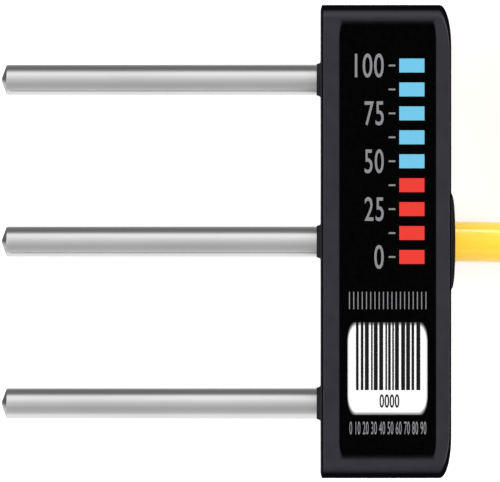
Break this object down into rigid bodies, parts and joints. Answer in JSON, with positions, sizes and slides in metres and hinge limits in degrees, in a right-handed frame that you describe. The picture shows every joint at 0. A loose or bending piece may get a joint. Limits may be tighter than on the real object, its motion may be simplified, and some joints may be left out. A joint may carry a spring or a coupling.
{
  "type": "soil moisture sensor",
  "caption": "Three-rod soil moisture probe: flat potted head with a printed overlay, parallel steel rods on one side and a coiled signal cable on the other.",
  "frame": {"origin": "centre of the head's flat back face", "axes": "+X along the rods from their points towards the cable, +Y across the head along its long side, +Z out of the printed front face"},
  "size_m": [0.1612, 0.0944, 0.025],
  "materials": {
    "housing": "satin moulded",
    "overlay": "printed satin film",
    "label_white": "printed white film",
    "rod_steel": "ground and polished",
    "seal_rubber": "matt",
    "brass": "machined",
    "screw_steel": "plain",
    "board": "solder mask",
    "chip": "moulded",
    "tin": "tinned",
    "resin": "cast",
    "jacket": "satin",
    "sleeve": "satin",
    "wire_red": "satin",
    "wire_white": "satin",
    "wire_blue": "satin",
    "nylon": "moulded"
  },
  "bodies": {
    "root": {"front_shell": "housing", "back_cover": "housing", "label_overlay": "overlay", "serial_label": "label_white", "upper_rod": "rod_steel", "middle_rod": "rod_steel", "lower_rod": "rod_steel", "upper_rod_seal": "seal_rubber", "middle_rod_seal": "seal_rubber", "lower_rod_seal": "seal_rubber", "upper_rod_clip": "brass", "middle_rod_clip": "brass", "lower_rod_clip": "brass", "clip_screws": "screw_steel", "circuit_board": "board", "shield_can": "tin", "sampler_chip": "chip", "microcontroller": "chip", "crystal": "tin", "voltage_regulator": "chip", "surge_diodes": "chip", "capacitors": "brass", "resistors": "chip", "thermistor": "resin", "wire_pins": "tin", "inner_red_wire": "wire_red", "inner_white_wire": "wire_white", "inner_blue_wire": "wire_blue", "cable_grommet": "seal_rubber", "cable_end": "jacket", "cable_ferrule": "tin", "potting_compound": "resin", "free_cable": "jacket", "cable_coil": "jacket", "coil_ties": "nylon", "tail_sleeve": "sleeve", "tail_red_wire": "wire_red", "tail_white_wire": "wire_white", "tail_blue_wire": "wire_blue", "tinned_tips": "tin"}
  },
  "joints": []
}
